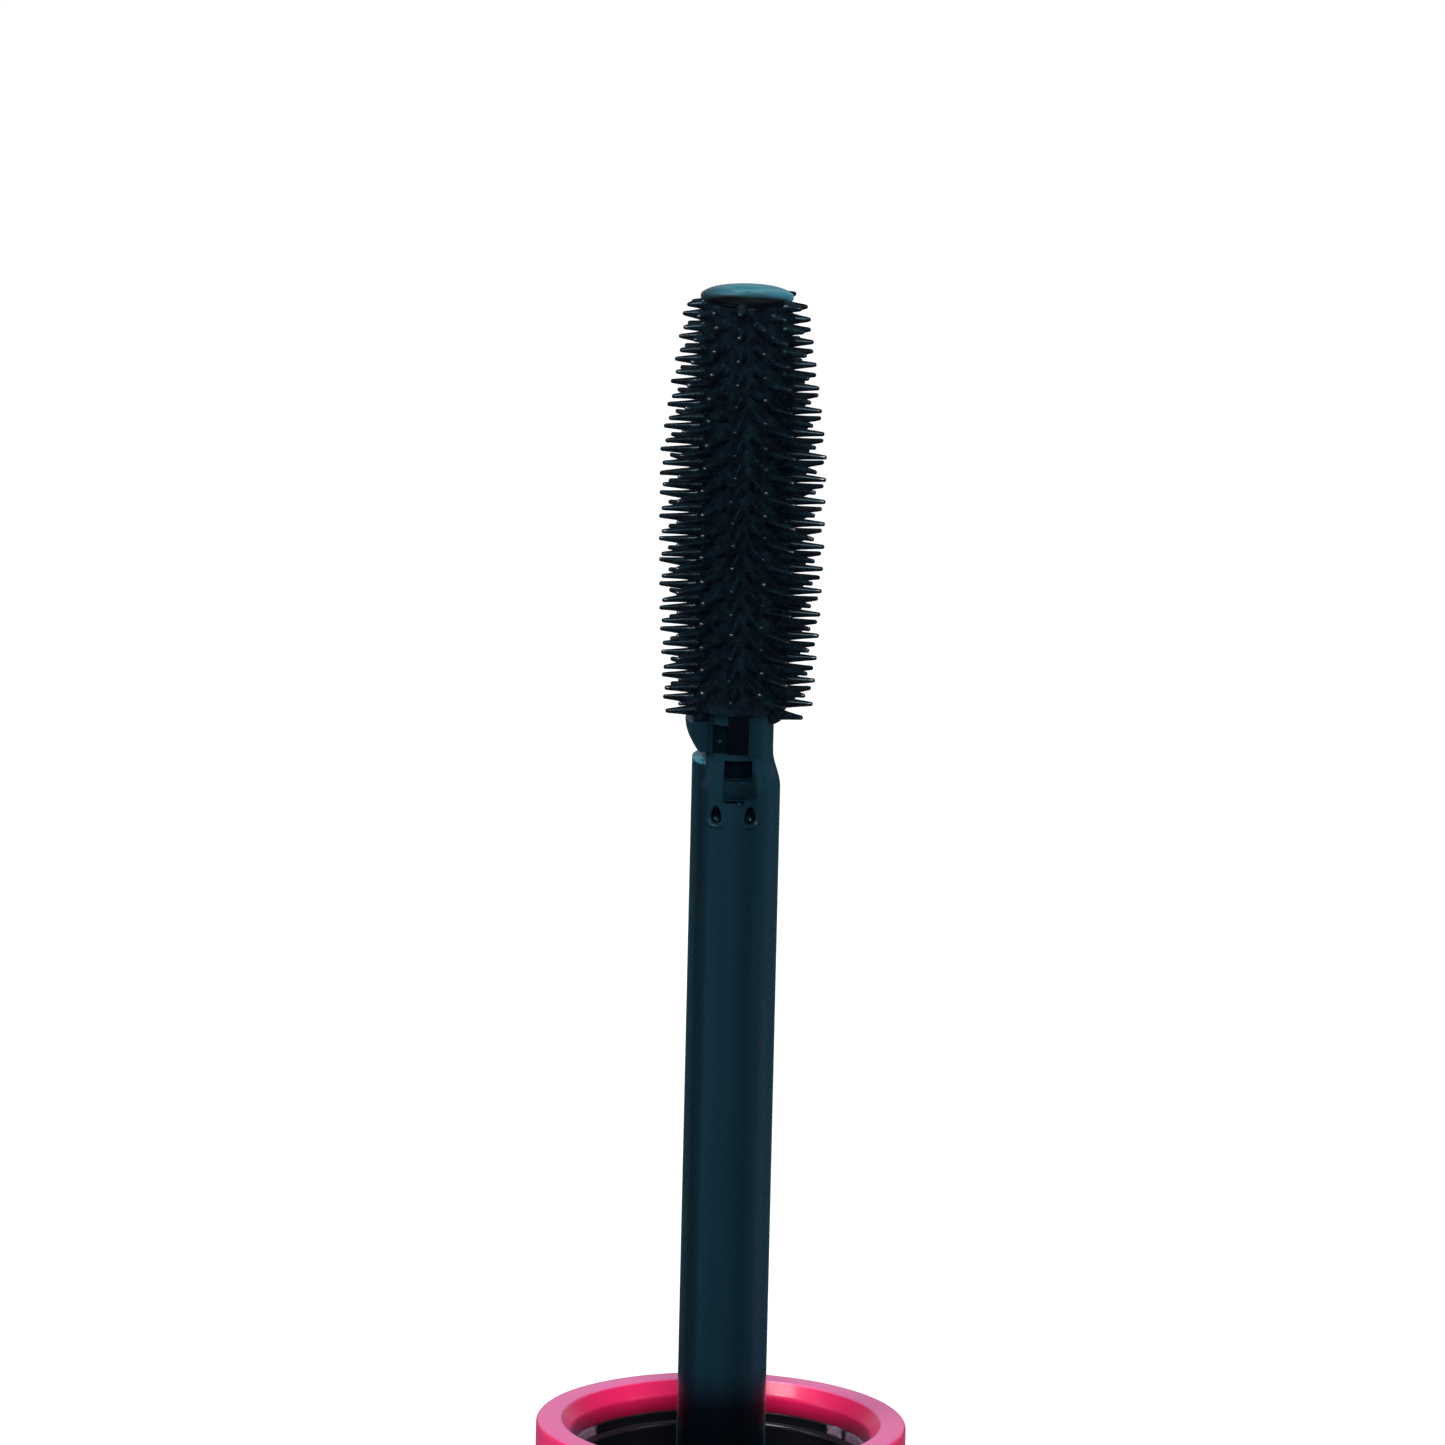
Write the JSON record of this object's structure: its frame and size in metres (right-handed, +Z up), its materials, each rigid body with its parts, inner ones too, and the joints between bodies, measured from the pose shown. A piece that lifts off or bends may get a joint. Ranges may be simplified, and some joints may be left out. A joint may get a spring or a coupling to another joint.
{
  "type": "mascara",
  "caption": "Opened mascara: a wand with a moulded bristle brush standing on its screw cap, and the open tube with threaded neck and wiper beside it.",
  "frame": {"origin": "middle of the cap's flat end, which the applicator stands on", "axes": "+Z up along the wand, from the cap to the brush's tip; +X from the applicator to the tube beside it; -Y is the front"},
  "size_m": [0.0688, 0.0188, 0.1111],
  "materials": {
    "pink_shell": "satin pearl pink moulded plastic",
    "black_moulding": "gloss black moulded polypropylene",
    "rod_plastic": "deep teal, slightly translucent moulded plastic, semi-gloss",
    "core_plastic": "deep teal moulded plastic, semi-gloss",
    "bristle_elastomer": "glossy black thermoplastic elastomer",
    "wiper_plastic": "soft satin polyethylene",
    "mascara_paste": "wet glossy black paste"
  },
  "bodies": {
    "applicator": {"overcap": "pink_shell", "closure": "black_moulding", "rod": "rod_plastic", "brush_core": "core_plastic", "bristle_sleeve": "bristle_elastomer"},
    "tube": {"tube_sleeve": "pink_shell", "bottle": "black_moulding", "wiper": "wiper_plastic", "base_plug": "black_moulding", "mascara": "mascara_paste"}
  },
  "joints": [
    {"name": "tube_lift", "type": "slide", "parent": "applicator", "child": "tube", "axis": [0, 0, 1], "range_m": [0, 0.1]}
  ]
}
